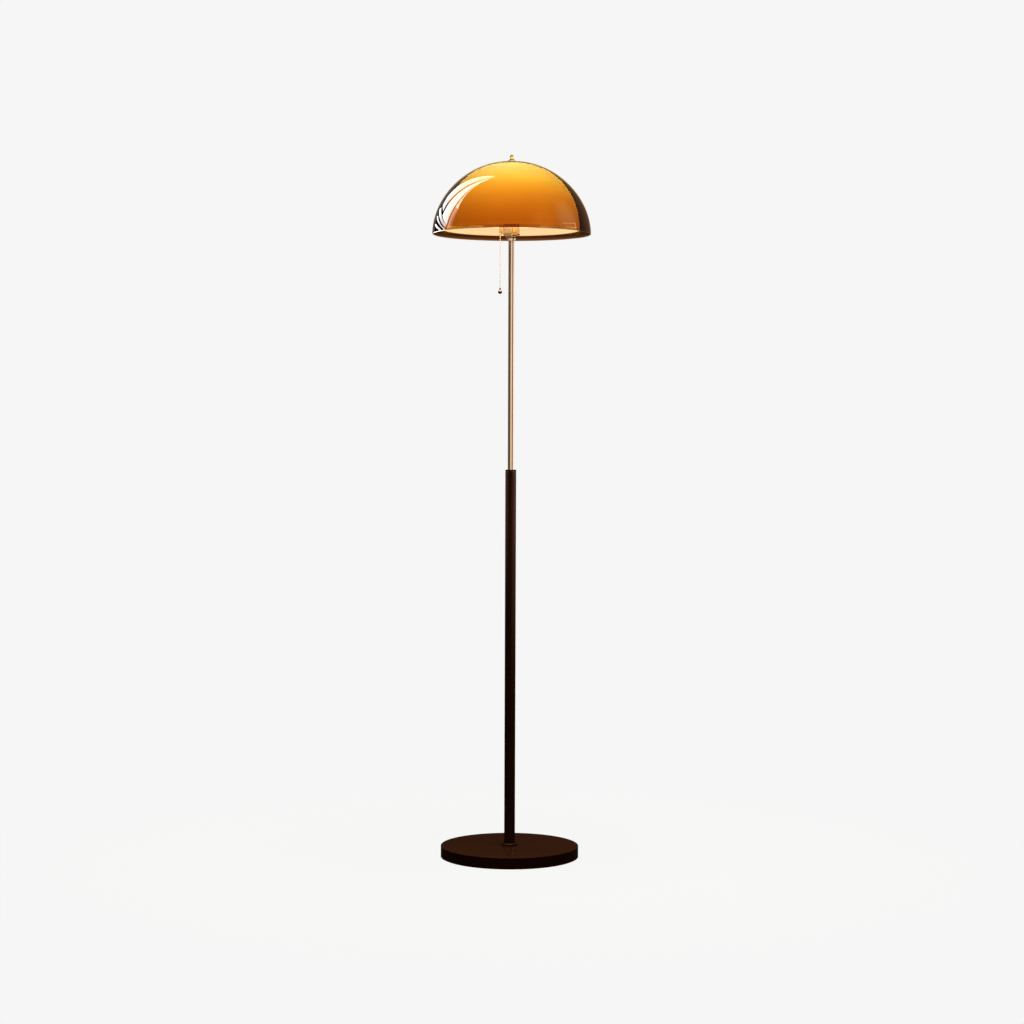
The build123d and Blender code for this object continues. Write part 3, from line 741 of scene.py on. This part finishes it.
# what the dome mirrors, in strips: the two edges of each as (side, up), and its share of the brightness
mirrored = {
    "window": {
        "colour": (1, 0.99, 0.975), "strength": 13.0,
        "strips": [
            ([(144.4, 18.6), (148, 22.5), (147.5, 28), (145.5, 35),
              (143.2, 43), (140.5, 52), (138.5, 61), (136, 70)],
             [(131.6, 18.6), (132, 22.5), (131.4, 28), (129.6, 35),
              (128, 43), (126.8, 52), (126.2, 61), (127, 69)], 0.45),
            ([(127, 16.3), (126.8, 22), (125.8, 29), (124.6, 36),
              (123.2, 44), (122.2, 52), (121.8, 60), (124, 68)],
             [(107.2, 9.2), (106.8, 16), (106.4, 23), (106.3, 31),
              (107, 38), (109.2, 45), (111.4, 52), (115.5, 62)], 0.8),
            ([(149.5, 14.4), (141, 13.8), (133.5, 13.2), (126, 11.6), (118.5, 9.4), (109.5, 6.8)],
             [(146, 16.8), (137.5, 16.5), (129.5, 15.5), (122, 13.7), (115.5, 11.6), (108, 9.0)], 0.5),
            ([(149.5, 11.2), (142, 10.6), (134, 9.8), (126, 8.4), (118, 6.2), (111, 3.4)],
             [(144.8, 12.4), (137.5, 11.7), (130, 10.6), (123.5, 9.0), (116, 7.2), (109.2, 5)], 0.5),
            ([(148, 7.3), (139.3, 6.2), (130, 5.1), (123.3, 3.4)],
             [(144, 8.3), (136, 7.5), (128, 6.4), (121, 4.8)], 0.55),
        ],
    },
    "windowEdge": {
        "colour": (1, 0.93, 0.74), "strength": 13.0,
        "strips": [
            ([(103, 29), (103.3, 34), (104.2, 39), (106.1, 44.5), (108.6, 51), (112.3, 58.5)],
             [(95, 29), (97.6, 34), (100.6, 39), (103.6, 44.5), (107, 51), (111.7, 58.5)], 0.9),
        ],
    },
    "windowEdgeLow": {
        "colour": (1, 0.82, 0.62), "strength": 13.0,
        "strips": [
            ([(104.6, 6.4), (103.7, 13), (103.3, 19), (103.1, 24), (103, 29)],
             [(99.5, 6.4), (98.8, 13), (97.6, 19), (96.2, 24), (95, 29)], 0.38),
            ([(99.5, 6.4), (98.8, 13), (97.6, 19), (96.2, 24), (95, 29)],
             [(94.5, 6.4), (94.2, 13), (93.6, 19), (93.4, 24), (94.2, 29)], 0.15),
        ],
    },
    "rimWarmth": {
        "colour": (1, 0.36, 0.03), "strength": 7.0,
        "strips": [
            ([(106, 2.5), (84, 2.5), (62, 2.5), (40, 2.5)],
             [(106, 7.5), (84, 7.5), (62, 7.5), (40, 7.5)], 1.0),
            ([(-40, 2.5), (-62, 2.5), (-84, 2.5), (-106, 2.5)],
             [(-40, 7.5), (-62, 7.5), (-84, 7.5), (-106, 7.5)], 0.7),
        ],
    },
    "smallFrame": {
        "colour": (1, 0.56, 0.20), "strength": 6.0,
        "strips": [
            ([(-76, 12.6), (-90, 12.5), (-105, 12.1)], [(-76, 11.9), (-90, 11.8), (-105, 11.4)], 1.0),
            ([(-103.2, 12.1), (-103, 9), (-102.8, 5.8)], [(-104.8, 12.1), (-104.6, 9), (-104.4, 5.8)], 1.0),
        ],
    },
}


def makeMirrored(name, look, distance=3.0):
    for first, second, share in look["strips"]:
        light = glowMaterial(name + "Light", look["colour"], look["strength"] * share)
        rows = [[lookout(side, up, distance) for side, up in row] for row in (first, second)]
        glowSheet(name, rows[0], rows[1], light, domeOnly)


for mirroredName, mirroredLook in mirrored.items():
    makeMirrored(mirroredName, mirroredLook)
print("mirrored shapes", len(mirrored))

# soft light on the dome: haze and warmth at the right, a dim warm back and a gold one for the crown. Each is
# full up to one distance from its middle and gone at another, in metres
softPatches = {
    "domeHaze": {
        "sides": (-40, -125), "ups": (0, 48), "distance": 3.1, "middle": (-90, 18),
        "full": 0.25, "gone": 1.5, "colour": (1, 0.82, 0.38), "strength": 1.35,
    },
    "domeWarmth": {
        "sides": (0, -100), "ups": (-5, 50), "distance": 3.12, "middle": (-48, 14),
        "full": 0.2, "gone": 1.7, "colour": (1, 0.30, 0.05), "strength": 2.0,
    },
    "domeBackLeft": {
        "sides": (149, 183), "ups": (-8, 70), "distance": 3.3, "middle": (165, 15),
        "full": 1.6, "gone": 4.0, "colour": (1, 0.82, 0.68), "strength": 0.23,
    },
    "crownGold": {
        "sides": (163, 197), "ups": (10, 55), "distance": 3.4, "middle": (180, 28),
        "full": 0.8, "gone": 2.2, "colour": (1, 0.70, 0.08), "strength": 0.35,
    },
    "domeBackRight": {
        "sides": (183, 247), "ups": (-8, 70), "distance": 3.3, "middle": (206, 16),
        "full": 1.0, "gone": 3.7, "colour": (1, 0.48, 0.24), "strength": 0.26,
    },
}


# numbers in even steps from the first to the last
def evenSteps(first, last, count):
    return [first + (last - first) * i / count for i in range(count + 1)]


def makeSoftPatch(name, look, across=8, up=5):
    fade = (lookout(*look["middle"], look["distance"]), look["full"], look["gone"])
    light = glowMaterial(name + "Light", look["colour"], look["strength"], fade)
    sides, ups = evenSteps(*look["sides"], across), evenSteps(*look["ups"], up)
    for low, high in zip(ups, ups[1:]):
        rows = [[lookout(side, level, look["distance"]) for side in sides] for level in (low, high)]
        glowSheet(name, rows[0], rows[1], light, domeOnly)


for patchName, patch in softPatches.items():
    makeSoftPatch(patchName, patch)
print("soft patches", len(softPatches))

# upright panels for the brass and the painted pole: what they light, colour, strength, first and last side in
# degrees left of the camera, bottom and top in metres. Those below the floor show only from above
paper, amber, umber = (1.0, 0.985, 0.965), (1.0, 0.46, 0.29), (1.0, 0.70, 0.36)
polePanels = {
    "frontPanel": (poleOnly, paper, 0.88, 22, -34, -2.6, 1.75),
    "leftPanel": (poleOnly, umber, 0.11, 22, 132, -2.6, 1.75),
    "nutLeft": (nutOnly, paper, 0.60, 22, 96, -2.6, 1.75),
    "rightPanel": (poleOnly, paper, 0.12, -34, -80, -2.6, 1.75),
    "rightBackPanel": (poleOnly, paper, 0.92, -80, -176, -2.6, 1.75),
    "tubeEdge": (tubeOnly, paper, 0.53, -80, -122, -2.6, 1.75),
    "leftBackPanel": (poleOnly, paper, 0.60, 132, 176, -2.6, 1.75),
    "cupRight": (cupOnly, paper, 0.75, -60, -84, 1.2, 1.9),
    "cupLeft": (cupOnly, amber, 0.45, 62, 36, 1.2, 1.9),
    "amberFront": (paintedPole, amber, 0.25, 50, -18, 0.40, 1.00),
    "amberNearRight": (paintedPole, amber, 0.95, -18, -50, 0.56, 1.00),
    "amberRight": (paintedPole, amber, 2.10, -50, -118, 0.56, 1.00),
    "amberRightLow": (paintedPole, amber, 0.75, -26, -118, 0.24, 0.56),
    "amberLeft": (paintedPole, amber, 1.50, 56, 122, 0.68, 1.00),
    "amberLeftLow": (paintedPole, amber, 0.90, 56, 122, 0.50, 0.68),
    "amberBelowRight": (paintedPole, amber, 1.60, -50, -118, -3.4, -0.80),
    "amberBelowLeft": (paintedPole, amber, 1.10, 56, 122, -3.4, -0.80),
    "amberBelowBack": (paintedPole, amber, 1.10, 170, 215, -3.4, -0.80),
    "brassFront": (smallBrass, paper, 1.3, 60, -100, 0.6, 3.6),
    "brassBack": (smallBrass, paper, 1.3, -100, -240, 0.6, 3.6),
}


def makePanel(name, look, distance=2.8, across=8):
    receivers, colour, strength, firstSide, lastSide, bottom, top = look
    rows = []
    for height in (bottom, top):
        foot = Vector((0, 0, height))
        rows.append([lookout(side, 0, distance, foot) for side in evenSteps(firstSide, lastSide, across)])
    glowSheet(name, rows[0], rows[1], glowMaterial(name + "Light", colour, strength), receivers)


for panelName, panel in polePanels.items():
    makePanel(panelName, panel)
print("pole panels", len(polePanels))

# level sheets: one overhead that draws the base's edge and the collar, one below for the foot of the cup
levelSheets = {
    "overheadSheet": {
        "receivers": baseOnly, "colour": (1, 0.86, 0.76), "strength": 2.2,
        "xs": (-1.2, 0, 1.2), "ys": (-1.4, 0.3), "height": 2.8,
    },
    "belowSheet": {
        "receivers": cupOnly, "colour": (1, 0.64, 0.34), "strength": 0.55,
        "xs": (-2.6, 0, 2.6), "ys": (-2.6, 2.6), "height": 0.6,
    },
}


def makeLevelSheet(name, look):
    rows = [[Vector((x, y, look["height"])) for x in look["xs"]] for y in look["ys"]]
    light = glowMaterial(name + "Light", look["colour"], look["strength"])
    glowSheet(name, rows[0], rows[1], light, look["receivers"])


for sheetName, sheetLook in levelSheets.items():
    makeLevelSheet(sheetName, sheetLook)

# area lights for the painted and unlit parts, kept out of reflections
softLights = {
    "overheadLight": {
        "place": (0.1, -0.2, 3.2), "aim": (0, 0, 0), "size": 1.2, "watts": 64, "colour": (1.0, 0.93, 0.86),
    },
    "shadeLight": {
        "place": (0, 0, 1.372), "aim": (0, 0, 0), "size": 0.26, "watts": 2.0, "colour": (1.0, 0.74, 0.42),
    },
}


def makeAreaLight(name, look):
    data = bpy.data.lights.new(name, "AREA")
    data.shape = "DISK"
    data.size = look["size"]
    data.energy = look["watts"]
    data.color = look["colour"]
    lamp = bpy.data.objects.new(name, data)
    scene.collection.objects.link(lamp)
    lamp.location = look["place"]
    lamp.rotation_euler = (Vector(look["aim"]) - Vector(look["place"])).to_track_quat("-Z", "Y").to_euler()
    lamp.visible_camera = False
    lamp.visible_glossy = False
    lamp.visible_transmission = False


for lightName, light in softLights.items():
    makeAreaLight(lightName, light)
print("stage ready")
